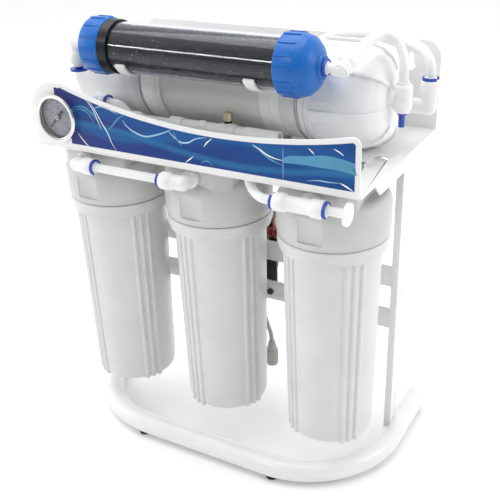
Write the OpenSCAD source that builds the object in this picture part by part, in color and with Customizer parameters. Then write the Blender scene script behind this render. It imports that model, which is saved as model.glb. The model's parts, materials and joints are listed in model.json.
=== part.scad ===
// Bench reverse osmosis unit: three filter housings, membrane housing, in-line filter, pump and gauge
// on a bent-tube stand. Millimetres, +X right, +Y back, +Z up; origin under the middle of the base.

/* [Stand] */
// diameter of the bent base tube
tube_d = 26; // [20:1:32]
// half width of the base, centre line
ring_half = 196; // [160:1:230]
// front of the base, centre line, measured forward
ring_front = 100.5; // [80:0.5:120]
// open back ends of the base, measured backward
ring_back = 106; // [80:0.5:113]
// bend radius of the two front corners
front_bend = 113; // [60:1:120]
// height of the rubber pads under the tube
pad_h = 3; // [2:0.5:6]
// sheet thickness of legs, shelf and plates
sheet = 2; // [1.5:0.5:3]
// height of the shelf's top face
shelf_z = 375; // [340:1:400]
// height of the back plate's top edge
back_top = 473; // [440:1:490]

/* [Filter housings] */
// distance between housing axes
pitch = 138; // [125:1:150]
// housing axes, distance in front of the frame's centre
housing_front = 40; // [20:1:60]
// radius of the head's skirt
head_r = 60; // [55:1:65]
// seam between head and sump
seam_z = 306; // [290:1:320]
// lowest point of the sumps
sump_z = 61; // [40:1:80]
// sump wall thickness
wall = 3.5; // [3:0.5:5]
// full turns that free a sump
thread_turns = 4; // [3:1:5]

/* [Membrane and in-line filter] */
// membrane housing body radius
membrane_r = 50; // [40:1:55]
// membrane housing axis height
membrane_z = 432; // [420:1:450]
// membrane housing axis, behind the frame's centre
membrane_y = 25; // [10:1:40]
// clear in-line filter shell radius
inline_r = 26.5; // [22:0.5:28]
// in-line filter axis height
inline_z = 478; // [472:1:482]
// in-line filter axis, in front of the frame's centre
inline_front = 55; // [52:1:60]

/* [Plumbing] */
// outside diameter of the water tubes
hose_d = 9.5; // [6:0.5:12]
// collar radius of the push-fit bodies
collar_r = 9.5; // [8:0.5:11]
// depth the tube enters a fitting
socket = 15; // [12:1:18]

/* [Gauge and pump] */
// gauge centre, left of the frame's centre
gauge_left = 155; // [140:1:165]
// gauge centre height
gauge_z = 410; // [400:1:415]
// bezel radius
bezel_r = 26; // [22:0.5:28]
// pump motor radius
motor_r = 37; // [30:1:40]

/* [Hidden] */
fine = 96;      // segments of large round parts
mid = 48;       // segments of medium round parts
small = 24;     // segments of small round parts
cut = 1;        // overshoot of cutting bodies
tube_r = tube_d / 2;
ring_z = pad_h + tube_r;
ring_wall = 1.5;
hy = -housing_front;
my = membrane_y;
mz = membrane_z;
iy = -inline_front;
iz = inline_z;
hose_r = hose_d / 2;
port_z = 358.5;                 // head ports
front_y = hy - 70;              // front plumbing line
rear_y = hy + 70;               // rear plumbing line
port_face = 52;                 // boss face, from the housing axis
leg_x = 192;                    // outer face of the legs
leg_y = 18;                     // front of the legs
leg_w = 18;                     // depth of the legs
shelf_x = leg_x + sheet;
shelf_front = -107;
shelf_back = 115.5;
plate_y = shelf_front;          // back face of the nameplate
arc_r = 660;                    // concave top edge of the nameplate
arc_x = 45;
arc_z = 1078;
lip_h = 9;                      // shelf's front lip, behind the nameplate
pad_r = 7;
pads = [[-91, -100], [91, -100], [-ring_half, 90], [ring_half, 90]];
bracket_screws = [[30, 174], [-62, 174]];
head_top = 352;
ceiling = 326;                  // of the head, inside
skirt_in = 55.2;
panel_top = 52;                 // smooth panel radius under the sump's bead
panel_low = 48;                 // and at the foot
panel_hi_z = 287;
panel_lo_z = 75;
rib_r = 3.2;
rib_rise = 2;                   // height of the ribs over the panels
rib_z = 63;
draft = atan((panel_top - panel_low) / (panel_hi_z - panel_lo_z));
neck_out = 48.5;                // threaded neck inside the membrane cap
ridge_angle = 7;                // first ridge of the membrane cap
saddle_w = 16;
clip_back = 47;                 // end of the filter cradle's rear arm, above +Y
clip_front = 153;               // end of its front hook, past +Y by way of the underside
strap_w = 24;
cradle_w = 12;
clip_h = 3;                     // locking clip thickness
clip_r = 8.6;
neck_r = 8;                     // fitting body between collars
grip_r = 6.4;                   // collet radius under the clip
thread_r = 6.5;                 // threaded stem radius
plug_r = hose_r - 0.1;
left_reach = 26;                // arm lengths of the front plumbing
mid_reach = 29;
tee_left = 35;
tee_right = 24;
stem_reach = 16;
gauge_reach = 17;
perm_reach = 15.5;
feed_up = 31;
inlet_drop = 26;
outlet_reach = 22;
nozzle_left = -151;             // outer ends of the in-line filter's caps
nozzle_right = 133;
valve_y = -31;                  // flush valve axis
valve_z = 392;
valve_x = 10;                   // valve stem axis
valve_left = -63;
valve_right = 72;
motor_low = 170;
motor_top = 250;
pump_top = 300;
port_in_x = -42;
port_out_x = -6;
switch_x = 27;
switch_z = 226;
blade_r = motor_r + 1.5;        // wire ends, from the motor's axis
lead_r = 2.8;
pump_x = -24;
pump_y = 62;
reject_x = -165;
cap_face = 178;                 // end face of the membrane cap
feed_y = 45;                    // feed port on that face
feed_z = 421;
feed_x = 205;
perm_y = 6;                     // permeate port on that face
perm_z = 440;
perm_x = 190;
inlet_x = -166.5;               // in-line filter's left elbow
outlet = [151, iy, iz];         // and its right elbow
gauge_y = -44;                  // elbow behind the gauge
rib_angles = [60, 70, 50];      // first rib group of each sump, from the front toward +X
screw_x = 25;                   // head screws, from the housing axis
screw_y = 12;

outlet_aim = unit([7, 43, 18]);
// centre lines of the bent tubes and the pump lead
gauge_route = [[118, front_y, port_z], [110, front_y, port_z], [102, front_y, port_z], [91, -109, 359],
    [79, -102, 361], [69, -93, 366], [61, -83, 374], [52, -73, 382], [38, -64, 387], [10, -60, 388],
    [-40, -58, 388], [-80, -54, 391], [-104, -48, 399], [-120, -45, 408], [-129, gauge_y, gauge_z],
    [-138, gauge_y, gauge_z], [-152, gauge_y, gauge_z]];
suction_route = [[-127, rear_y, port_z], [-119, rear_y, port_z], [-111, rear_y, port_z], [-92, 31, 358],
    [-72, 37, 354], [-55, 48, 342], [-45, 58, 326], [port_in_x, pump_y, 309], [port_in_x, pump_y, 299],
    [port_in_x, pump_y, 289]];
feed_route = [[port_out_x, pump_y, 289], [port_out_x, pump_y, 297], [port_out_x, pump_y, 305],
    [-4, 67, 318], [3, 82, 338], [11, 96, 358], [14, 100, 375], [15, 100, 396], [24, 101, 428],
    [44, 100, 456], [72, 96, 473], [99, 90, 480], [137, 80, 484], [168, 69, 482], [190, 57, 477],
    [201, 48, 470], [feed_x, feed_y, 461], [feed_x, feed_y, 452], [feed_x, feed_y, 438]];
product_route = [outlet + 8 * outlet_aim, outlet + 22 * outlet_aim, outlet + 30 * outlet_aim,
    outlet + 38 * outlet_aim, [159, -10, 496], [164, 3, 498], [171, 10, 498], [180, 12, 492],
    [187, 9, 481], [perm_x, perm_y, 470], [perm_x, perm_y, 462], [perm_x, perm_y, 455],
    [perm_x, perm_y, 441]];
lead_route = [[-10, 58, 171], [-9, 58, 160], [-5, 56, 140], [1, 53, 121], [8, 51, 103], [13, 50, 90],
    [14, 50, 78]];

// ---- helpers: local +Z turned to a world direction ----
module along_x(p) translate(p) rotate([0, 90, 0]) children();
module along_back_x(p) translate(p) rotate([0, -90, 0]) children();
module along_y(p) translate(p) rotate([-90, 0, 0]) children();
module along_back_y(p) translate(p) rotate([90, 0, 0]) children();
module down(p) translate(p) rotate([180, 0, 0]) children();
module toward(p, d) translate(p) rotate([0, acos(d[2]), atan2(d[1], d[0])]) children();

module pipe(r_out, r_in, h, n = small) difference() {
    cylinder(r = r_out, h = h, $fn = n);
    translate([0, 0, -cut]) cylinder(r = r_in, h = h + 2 * cut, $fn = n);
}

// ---- swept tubes: Catmull-Rom through the points, rings carried without twist ----
function unit(v) = v / norm(v);
function mix(a, b, c, d, t) = 0.5 * (2 * b + (c - a) * t + (2 * a - 5 * b + 4 * c - d) * t * t
    + (3 * b - a - 3 * c + d) * t * t * t);
function curve(p, n) = let(last = len(p) - 1) concat(
    [for (i = [0 : last - 1], k = [0 : n - 1])
        mix(i == 0 ? 2 * p[0] - p[1] : p[i - 1], p[i], p[i + 1],
            i == last - 1 ? 2 * p[last] - p[last - 1] : p[i + 2], k / n)], [p[last]]);
function heading(c) = let(last = len(c) - 1)
    [for (i = [0 : last]) unit(c[min(i + 1, last)] - c[max(i - 1, 0)])];
function carry(t, v, i = 0) = i == len(t) ? []
    : let(w = unit(v - (v * t[i]) * t[i])) concat([w], carry(t, w, i + 1));

module sweep(points, r, sides = 10, n = 4) {
    c = curve(points, n);
    t = heading(c);
    side = carry(t, abs(t[0][0]) < 0.7 ? [1, 0, 0] : [0, 0, 1]);
    rings = len(c);
    vertices = [for (i = [0 : rings - 1], j = [0 : sides - 1])
        c[i] + r * (cos(360 * j / sides) * side[i] + sin(360 * j / sides) * cross(t[i], side[i]))];
    faces = concat(
        [[for (j = [0 : sides - 1]) j]],
        [for (i = [0 : rings - 2], j = [0 : sides - 1])
            [i * sides + j, (i + 1) * sides + j, (i + 1) * sides + (j + 1) % sides]],
        [for (i = [0 : rings - 2], j = [0 : sides - 1])
            [i * sides + j, (i + 1) * sides + (j + 1) % sides, i * sides + (j + 1) % sides]],
        [[for (j = [0 : sides - 1]) rings * sides - 1 - j]]);
    polyhedron(vertices, faces, convexity = 8);
}

// ---- push-fit parts, arm along local +Z from the fitting's centre ----
module arm(reach) {
    cylinder(r = neck_r, h = reach - socket, $fn = small);
    translate([0, 0, reach - socket])
        rotate_extrude($fn = mid) polygon([[0, -2], [neck_r, -2], [collar_r, 0],
            [collar_r, socket - clip_h - 2], [collar_r - 1, socket - clip_h], [0, socket - clip_h]]);
    cylinder(r = grip_r, h = reach, $fn = small);
}
module arm_bore(reach) {
    translate([0, 0, reach - socket]) cylinder(r = hose_r, h = socket + cut, $fn = small);
    cylinder(r = 3, h = reach, $fn = small);
}
module stem(reach, thread) {
    cylinder(r = neck_r, h = reach, $fn = small);
    translate([0, 0, reach - 5]) cylinder(r = collar_r, h = 5, $fn = small);
    cylinder(r = thread_r, h = reach + thread, $fn = small);
}
module clip(reach) translate([0, 0, reach - clip_h]) difference() {
    cylinder(r = clip_r, h = clip_h, $fn = mid);
    translate([0, 0, -cut]) cylinder(r = grip_r, h = clip_h + 2 * cut, $fn = small);
    translate([0, -4, -cut]) cube([collar_r + 2, 8, clip_h + 2 * cut]);
}

// ---- stand ----
// U of bent tube, open at the back
module ring_core(r, past = 0) {
    for (s = [-1, 1]) {
        along_y([s * ring_half, front_bend - ring_front, ring_z])
            cylinder(r = r, h = ring_back + ring_front - front_bend + past, $fn = mid);
        translate([s * (ring_half - front_bend), front_bend - ring_front, ring_z])
            rotate(s > 0 ? -90 : 180) rotate_extrude(angle = 90, $fn = fine)
                translate([front_bend, 0]) circle(r = r, $fn = mid);
    }
    along_x([front_bend - ring_half, -ring_front, ring_z])
        cylinder(r = r, h = 2 * (ring_half - front_bend), $fn = mid);
}
module base_ring() color("white") difference() {
    ring_core(tube_r);
    ring_core(tube_r - ring_wall, cut);
}
module ring_plugs() color("white") for (s = [-1, 1]) along_y([s * ring_half, ring_back, ring_z]) {
    translate([0, 0, -14]) cylinder(r = tube_r - ring_wall - 0.1, h = 15, $fn = mid);
    cylinder(r1 = tube_r, r2 = tube_r - 1.2, h = 2.4, $fn = mid);
}
// small pads under the tube, their tops cut to it
module rubber_pads() color("dimgray") difference() {
    for (p = pads) translate([p[0], p[1], 0]) cylinder(r = pad_r, h = pad_h + 4, $fn = mid);
    ring_core(tube_r);
}
module leg(s) {
    side = s > 0 ? leg_x - sheet : -leg_x;
    difference() {
        union() {
            translate([side, leg_y, 22]) cube([sheet, leg_w, shelf_z - sheet - 22]);
            translate([s > 0 ? leg_x - 8 : -leg_x, leg_y, 22]) cube([8, sheet, shelf_z - sheet - 22]);
        }
        along_y([s * ring_half, leg_y - cut, ring_z]) cylinder(r = tube_r, h = leg_w + 2 * cut, $fn = mid);
        for (z = [155, 210]) along_x([side - cut, leg_y + 13, z]) cylinder(r = 2, h = sheet + 2 * cut, $fn = small);
    }
}
module leg_left() color("white") leg(-1);
module leg_right() color("white") leg(1);
module crossbars() color("white") difference() {
    for (z = [163, 217]) translate([sheet - leg_x, leg_y + sheet, z])
        cube([2 * (leg_x - sheet), sheet, 26]);
    for (p = bracket_screws) along_y([p[0], leg_y, p[1]]) cylinder(r = 2, h = 10, $fn = small);
}

module shelf() color("white") difference() {
    union() {
        translate([-shelf_x, shelf_front, shelf_z - sheet])
            cube([2 * shelf_x, shelf_back - shelf_front, sheet]);
        for (s = [-1, 1]) translate([s > 0 ? leg_x : -shelf_x, 0, 0]) rotate([90, 0, 90])
            linear_extrude(sheet) polygon([[-70, shelf_z - sheet], [-56, 359], [112, 359],
                [112, shelf_z - sheet]]);
        translate([-187, shelf_front, shelf_z]) cube([374, sheet, lip_h]);
    }
    for (x = [-pitch, 0, pitch], a = [-1, 1], b = [-1, 1])
        translate([x + a * screw_x, hy + b * screw_y, shelf_z - 5]) cylinder(r = 2.75, h = 10, $fn = small);
    translate([172, 2, shelf_z - 5]) cylinder(r = 7.5, h = 10, $fn = small);
    translate([14, 100, shelf_z - 5]) cylinder(r = 8, h = 10, $fn = small);
    translate([60, -80, shelf_z - 5]) cylinder(r = 14, h = 10, $fn = mid);
}
module back_plate() color("white") along_back_y([0, shelf_back, 0]) linear_extrude(sheet) difference() {
    union() {
        translate([-shelf_x, shelf_z]) square([2 * shelf_x, back_top - 18 - shelf_z]);
        translate([18 - shelf_x, shelf_z]) square([2 * shelf_x - 36, back_top - shelf_z]);
        for (s = [-1, 1]) translate([s * (shelf_x - 18), back_top - 18]) circle(r = 18, $fn = mid);
    }
    for (s = [-1, 1]) translate([s * 161, 444]) {
        circle(r = 5, $fn = small);
        translate([-3, 0]) square([6, 12]);
        translate([0, 12]) circle(r = 3, $fn = small);
    }
}
module plate_outline(inset) difference() {
    union() {
        translate([-194 + inset, 376.5 + inset]) square([36, 34.5 - inset]);
        translate([-158, 411]) circle(r = 36 - inset, $fn = mid);
        difference() {
            translate([-151, 376.5 + inset]) square([344 - inset, 80]);
            translate([arc_x, arc_z]) circle(r = arc_r + inset, $fn = 240);
            translate([185, 425]) difference() {
                square(20);
                circle(r = 8 - inset, $fn = small);
            }
        }
        translate([-160, 376.5 + inset]) square([12, 60]);
    }
    translate([-gauge_left, gauge_z]) circle(r = bezel_r - 1.4, $fn = mid);
}
module nameplate() color("white") along_back_y([0, plate_y, 0]) linear_extrude(sheet) plate_outline(0);
// printed skin: the same outline brought in, with the corner round the gauge left bare
module nameplate_label() color("royalblue") along_back_y([0, plate_y - sheet, 0]) linear_extrude(0.3)
    difference() {
        translate([-158, 340]) intersection() {
            square([380, 140]);
            translate([158, -340]) plate_outline(5);
        }
        translate([-gauge_left, gauge_z]) circle(r = bezel_r - 0.5, $fn = mid);
        translate([-182, 370]) square([40, 24]);
    }

// ---- filter housings ----
module head(x) translate([x, hy, 0]) difference() {
    union() {
        rotate_extrude($fn = fine) polygon([[0, ceiling], [skirt_in, ceiling], [skirt_in, seam_z],
            [head_r - 1.6, seam_z], [head_r - 1.6, seam_z + 4], [head_r, seam_z + 6], [head_r, 342],
            [head_r - 2, 347], [head_r - 7, 351], [head_r - 12, head_top], [0, head_top]]);
        intersection() {
            translate([-42, -port_face, 340]) cube([84, 2 * port_face, shelf_z - sheet - 340]);
            translate([0, 0, 340]) cylinder(r = 58, h = 40, $fn = fine);
        }
        for (s = [-1, 1]) along_y([0, s > 0 ? port_face - 8 : -port_face - 2, port_z])
            cylinder(r = 10, h = 10, $fn = mid);
        translate([0, 0, 308]) cylinder(r = 12, h = ceiling - 308 + 2, $fn = mid);
        translate([0, 0, 318.4]) cylinder(r = 20, h = ceiling - 318.4 + 2, $fn = mid);
    }
    for (s = [-1, 1]) along_y([0, s > 0 ? port_face - 12 : -port_face - 2 - cut, port_z])
        cylinder(r = thread_r, h = 14 + cut, $fn = small);
    along_y([0, 0, port_z]) cylinder(r = 3.5, h = port_face, $fn = small);
    translate([0, 0, ceiling - 20]) cylinder(r = 3.5, h = port_z - ceiling + 20, $fn = small);
    translate([0, 0, ceiling - 20]) cylinder(r = 8, h = 20, $fn = small);
    along_back_y([0, -32, port_z]) cylinder(r = 3.5, h = port_face - 32, $fn = small);
    translate([0, -34, ceiling - 2]) cylinder(r = 3.5, h = port_z - ceiling + 2, $fn = small);
    for (a = [-1, 1], b = [-1, 1]) translate([a * screw_x, b * screw_y, shelf_z - 20])
        cylinder(r = 2.5, h = 20, $fn = small);
    translate([-13, -head_r - cut, 313]) cube([26, 2 + cut, 25]);
}
module head_left() color("whitesmoke") head(-pitch);
module head_middle() color("whitesmoke") head(0);
module head_right() color("whitesmoke") head(pitch);

module sump(x, first) translate([x, hy, 0]) difference() {
    union() {
        rotate_extrude($fn = fine) polygon([[0, sump_z], [44, sump_z], [47, sump_z + 1.5],
            [panel_low, sump_z + 5], [panel_low, panel_lo_z], [panel_top, panel_hi_z], [54, 289], [57.5, 290],
            [57.5, 293.6], [59, 295], [59, 304], [58, 305], [54.7, 305], [54.7, 322], [0, 322]]);
        for (g = [0 : 3], k = [-1, 0, 1]) rotate(first + 90 * g + 10 * k - 90)
            translate([panel_low + rib_rise - rib_r, 0, rib_z]) rotate([0, draft, 0]) {
                cylinder(r = rib_r, h = panel_hi_z + 4 - rib_z, $fn = 16);
                sphere(r = rib_r, $fn = 16);
            }
    }
    rotate_extrude($fn = fine) polygon([[0, sump_z + wall], [39, sump_z + wall], [43.5, sump_z + 9],
        [panel_low - wall, panel_lo_z + 5], [panel_top - wall, panel_hi_z], [49, 324], [0, 324]]);
}
// foot the cartridge stands on, with the knob that enters its lower bore
module seat(x) translate([x, hy, sump_z + wall - cut]) {
    cylinder(r = 18, h = 4.1 + cut, $fn = mid);
    cylinder(r = 12.2, h = 9 + cut, $fn = mid);
}
module sump_left() color("whitesmoke") { sump(-pitch, rib_angles[0]); seat(-pitch); }
module sump_middle() color("whitesmoke") { sump(0, rib_angles[1]); seat(0); }
module sump_right() color("whitesmoke") { sump(pitch, rib_angles[2]); seat(pitch); }

// the head's spigot enters the upper bore
module cartridge(x, r) translate([x, hy, 0]) difference() {
    union() {
        translate([0, 0, 72]) cylinder(r = r, h = 242, $fn = mid);
        for (z = [69, 312]) translate([0, 0, z]) cylinder(r = r + 2, h = 6, $fn = mid);
    }
    translate([0, 0, 60]) cylinder(r = 12.6, h = 270, $fn = mid);
}
module cartridge_left() color("ivory") cartridge(-pitch, 31);
module cartridge_middle() color("dimgray") cartridge(0, 32);
module cartridge_right() color("dimgray") cartridge(pitch, 32);
module housing_orings() color("black") for (x = [-pitch, 0, pitch]) translate([x, hy, 324.1])
    rotate_extrude($fn = mid) translate([52, 0]) circle(r = 1.7, $fn = 16);
module head_screws() color("silver") for (x = [-pitch, 0, pitch], a = [-1, 1], b = [-1, 1])
    translate([x + a * screw_x, hy + b * screw_y, shelf_z]) difference() {
        union() {
            cylinder(r1 = 5, r2 = 4, h = 3.2, $fn = small);
            translate([0, 0, -18]) cylinder(r = 2.5, h = 19, $fn = small);
        }
        translate([0, 0, 1.4]) cylinder(r = 2, h = 3, $fn = 6);
    }

// ---- membrane housing ----
module membrane_housing() color("whitesmoke") difference() {
    union() {
        along_x([0, my, mz]) rotate_extrude($fn = fine) polygon([[0, -205], [42, -205], [47, -203],
            [49.3, -199], [membrane_r, -194], [membrane_r, 88], [neck_out, 88], [neck_out, 112], [0, 112]]);
        along_back_y([reject_x, my - 5, valve_z]) cylinder(r = 9.5, h = 42.5, $fn = mid);
    }
    along_x([-200, my, mz]) cylinder(r = membrane_r - 4, h = 319, $fn = fine);
    along_back_y([reject_x, my - 10, valve_z]) cylinder(r = thread_r, h = 40, $fn = small);
}
// end cap: grooved collar, eight ridges running onto the domed nose, flat panels between them, two ports
module membrane_cap() color("whitesmoke") difference() {
    union() {
        along_x([0, my, mz]) rotate_extrude($fn = fine) polygon([[0, 90], [52, 90], [53, 91.5], [53, 95],
            [51.6, 95.6], [51.6, 97.4], [53, 98], [53, 100], [56, 103], [56, 140], [54.5, 152], [50, 164],
            [42, 173], [34, 177], [26, cap_face], [0, cap_face]]);
        intersection() {
            along_x([0, my, mz]) rotate_extrude($fn = fine) polygon([[30, 102], [55.5, 102], [59, 105],
                [59, 140], [57.4, 152.6], [52.6, 165.5], [44, 175], [35, 178.6], [30, 178.6]]);
            for (k = [0 : 7]) along_x([100, my, mz]) rotate(ridge_angle + 45 * k)
                translate([31, -2, 0]) cube([30, 4, 80]);
        }
        for (p = [[feed_y, feed_z], [perm_y, perm_z]]) along_x([cap_face - 8, p[0], p[1]])
            cylinder(r = 10, h = 10, $fn = mid);
    }
    translate([90, my - 30, 340]) cube([100, 60, shelf_z + 0.6 - 340]);
    for (k = [0 : 7]) along_x([106, my, mz]) rotate(ridge_angle + 22.5 + 45 * k)
        translate([54.6, -10, 0]) cube([4, 20, 22]);
    along_x([88, my, mz]) cylinder(r = neck_out, h = 24, $fn = fine);
    along_x([88, my, mz]) cylinder(r = membrane_r - 4, h = 60, $fn = fine);
    for (p = [[feed_y, feed_z], [perm_y, perm_z]]) along_x([140, p[0], p[1]])
        cylinder(r = thread_r, h = 50, $fn = small);
}
module membrane_element() color("beige") difference() {
    along_x([-199, my, mz]) union() {
        cylinder(r = 44, h = 300, $fn = fine);
        cylinder(r = 10, h = 312, $fn = mid);
    }
    along_x([-180, my, mz]) cylinder(r = 7, h = 300, $fn = mid);
}
module membrane_saddles() color("whitesmoke") for (x = [-123, 70]) translate([x, 0, 0])
    rotate([90, 0, 90]) linear_extrude(saddle_w) difference() {
        union() {
            translate([my - 40, shelf_z]) square([80, 4]);
            translate([my - 26, shelf_z]) square([52, 34]);
            translate([my, mz]) circle(r = membrane_r + 3, $fn = fine);
        }
        translate([my, mz]) circle(r = membrane_r, $fn = fine);
    }

// ---- in-line filter, axis along X ----
module inline_shell() color([0.85, 0.88, 0.9, 0.4]) along_x([-122, iy, iz])
    pipe(inline_r, inline_r - 2, 219, fine);
module inline_media() color([0.12, 0.12, 0.13]) along_x([-104.5, iy, iz])
    cylinder(r = inline_r - 2, h = 195, $fn = fine);
module flutes(r, x, h, count) for (k = [0 : count - 1]) along_x([x, iy, iz]) rotate(k * 360 / count + 9)
    translate([r - 2, -1.5, 0]) cube([3, 3, h]);
module inline_cap_left() difference() {
    union() {
        color("dodgerblue") along_x([0, iy, iz]) rotate_extrude($fn = fine) polygon([[0, nozzle_left],
            [11, nozzle_left], [12, -150], [12, -144.5], [20, -144], [27, -141.5], [29.3, -139],
            [30, -137.5], [30, -117], [29, -116], [0, -116]]);
        color("dodgerblue") flutes(30, -137, 18, 14);
        color("dimgray") along_x([-117, iy, iz]) cylinder(r = inline_r + 2, h = 12.5, $fn = fine);
    }
    along_x([-122, iy, iz]) cylinder(r = inline_r, h = 30, $fn = fine);
    along_x([nozzle_left - cut, iy, iz]) cylinder(r = thread_r, h = 31, $fn = small);
}
module inline_cap_right() color("dodgerblue") difference() {
    union() {
        along_x([0, iy, iz]) rotate_extrude($fn = fine) polygon([[0, 91.5], [29.4, 91.5], [30.4, 92.5],
            [30.4, 112], [29.6, 115], [28, 120], [22, 126], [15, 129.5], [12, 130], [12, nozzle_right - 1],
            [11, nozzle_right], [0, nozzle_right]]);
        flutes(30.4, 93, 18, 14);
    }
    along_x([90, iy, iz]) cylinder(r = inline_r, h = 7, $fn = fine);
    along_x([96, iy, iz]) cylinder(r = hose_r, h = 40, $fn = small);
}
// strap round the membrane housing at x, cradle of the in-line filter starting a step further
module filter_clip(x, step) translate([x, 0, 0]) rotate([90, 0, 90]) union() {
    translate([0, 0, step]) linear_extrude(cradle_w) difference() {
        union() {
            translate([iy, iz]) circle(r = inline_r + 3, $fn = fine);
            polygon([[iy - 4, iz - inline_r - 1], [iy + 25, iz - 5], [my - 20, mz + 48], [my - 48, mz + 10]]);
            translate([my, mz]) circle(r = membrane_r + 3, $fn = fine);
        }
        translate([iy, iz]) circle(r = inline_r, $fn = fine);
        translate([my, mz]) circle(r = membrane_r, $fn = fine);
        translate([iy, iz]) polygon([[0, 0], [60 * cos(clip_back), 60 * sin(clip_back)], [0, 80],
            [-80, 60], [-80, -40 * tan(180 - clip_front) - 10], [60 * cos(clip_front), -60 * sin(clip_front)]]);
    }
    linear_extrude(strap_w) difference() {
        translate([my, mz]) circle(r = membrane_r + 2.5, $fn = fine);
        translate([my, mz]) circle(r = membrane_r, $fn = fine);
    }
}
module filter_clips() color("white") { filter_clip(-104, 8); filter_clip(45.9, 12); }

// ---- pressure gauge, face toward the front ----
module at_gauge(y) along_y([-gauge_left, y, gauge_z]) children();
module gauge_case() color("silver") difference() {
    union() {
        at_gauge(-114.3) cylinder(r = bezel_r - 1.5, h = 28, $fn = mid);
        at_gauge(-90) cylinder(r = 10, h = 24, $fn = 6);
        at_gauge(-70) cylinder(r = thread_r, h = 18, $fn = small);
    }
    at_gauge(-116) cylinder(r = bezel_r - 3, h = 7.4, $fn = mid);
    at_gauge(-110) difference() {
        cylinder(r = bezel_r - 6, h = 20, $fn = mid);
        translate([0, 0, 5]) cylinder(r = 4, h = 20, $fn = small);
    }
    at_gauge(-110) cylinder(r = 1.05, h = 14, $fn = small);
    at_gauge(-94) cylinder(r = 2, h = 60, $fn = small);
}
module gauge_bezel() color("silver") at_gauge(-117) rotate_extrude($fn = fine) polygon([[22, 0.6],
    [23, 0], [24.8, 0], [bezel_r, 1.4], [bezel_r, 7.7], [bezel_r - 1.5, 7.7], [bezel_r - 1.5, 1.5],
    [22, 1.5]]);
module gauge_dial() color("lightsteelblue") at_gauge(-109.2) pipe(bezel_r - 3, 1.6, 0.6, mid);
module gauge_needle() color("black") {
    at_gauge(-113) cylinder(r = 3, h = 2.4, $fn = small);
    at_gauge(-111) cylinder(r = 1, h = 11, $fn = small);
    along_back_y([-gauge_left, -111.4, gauge_z]) rotate(-135) linear_extrude(0.8)
        polygon([[18, 0], [0, 1.4], [-11, 1.4], [-11, -1.4], [0, -1.4]]);
}
module gauge_lens() color([0.9, 0.95, 1, 0.3]) at_gauge(-115.5) cylinder(r = bezel_r - 1.5, h = 1.2, $fn = mid);
module gauge_elbow() color("white") difference() {
    union() {
        corner([-gauge_left, gauge_y, gauge_z]);
        along_x([-gauge_left, gauge_y, gauge_z]) arm(gauge_reach);
        along_back_y([-gauge_left, gauge_y + 5, gauge_z]) cylinder(r = collar_r, h = 27, $fn = mid);
    }
    along_x([-gauge_left, gauge_y, gauge_z]) arm_bore(gauge_reach);
    along_back_y([-gauge_left, gauge_y - 8, gauge_z]) cylinder(r = thread_r, h = 30, $fn = small);
    along_back_y([-gauge_left, gauge_y, gauge_z]) cylinder(r = 3, h = 20, $fn = small);
}

// ---- fittings ----
module corner(p) translate(p) sphere(r = neck_r, $fn = mid);
module elbow(p, reach, to_right, to_back) {
    dir = to_right ? 90 : -90;
    turn = to_back ? -90 : 90;
    difference() {
        union() {
            corner(p);
            translate(p) rotate([0, dir, 0]) arm(reach);
            translate(p) rotate([turn, 0, 0]) stem(stem_reach, 12);
        }
        translate(p) rotate([0, dir, 0]) arm_bore(reach);
        translate(p) rotate([turn, 0, 0]) cylinder(r = 3, h = 40, $fn = small);
    }
}
module head_elbows() color("white") {
    elbow([-pitch, front_y, port_z], left_reach, true, true);
    elbow([0, front_y, port_z], mid_reach, false, true);
    elbow([-pitch, rear_y, port_z], left_reach, true, false);
    elbow([0, rear_y, port_z], left_reach, true, false);
    elbow([pitch, rear_y, port_z], left_reach, false, false);
}
module inlet_tee() color("white") difference() {
    union() {
        along_x([pitch, front_y, port_z]) arm(tee_right);
        along_back_x([pitch, front_y, port_z]) arm(tee_left);
        along_y([pitch, front_y, port_z]) stem(stem_reach, 12);
    }
    along_x([pitch, front_y, port_z]) arm_bore(tee_right);
    along_back_x([pitch, front_y, port_z]) arm_bore(tee_left);
    along_y([pitch, front_y, port_z]) cylinder(r = 3, h = 40, $fn = small);
}
module membrane_tee() color("white") difference() {
    union() {
        translate([perm_x, perm_y, perm_z]) arm(perm_reach);
        down([perm_x, perm_y, perm_z]) arm(perm_reach);
        along_back_x([perm_x, perm_y, perm_z]) stem(perm_x - cap_face - 2, 14);
    }
    translate([perm_x, perm_y, perm_z]) arm_bore(perm_reach);
    down([perm_x, perm_y, perm_z]) arm_bore(perm_reach);
    along_back_x([perm_x, perm_y, perm_z]) cylinder(r = 3, h = 40, $fn = small);
}
module membrane_elbows() color("white") {
    difference() {
        union() {
            corner([feed_x, feed_y, feed_z]);
            translate([feed_x, feed_y, feed_z]) arm(feed_up);
            along_back_x([feed_x, feed_y, feed_z]) stem(feed_x - cap_face - 2, 14);
        }
        translate([feed_x, feed_y, feed_z]) arm_bore(feed_up);
        along_back_x([feed_x, feed_y, feed_z]) cylinder(r = 3, h = 60, $fn = small);
    }
    difference() {
        union() {
            corner([reject_x, valve_y, valve_z]);
            along_x([reject_x, valve_y, valve_z]) arm(left_reach);
            along_y([reject_x, valve_y, valve_z]) cylinder(r = thread_r, h = 22, $fn = small);
        }
        along_x([reject_x, valve_y, valve_z]) arm_bore(left_reach);
        along_y([reject_x, valve_y, valve_z]) cylinder(r = 3, h = 40, $fn = small);
    }
}
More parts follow.
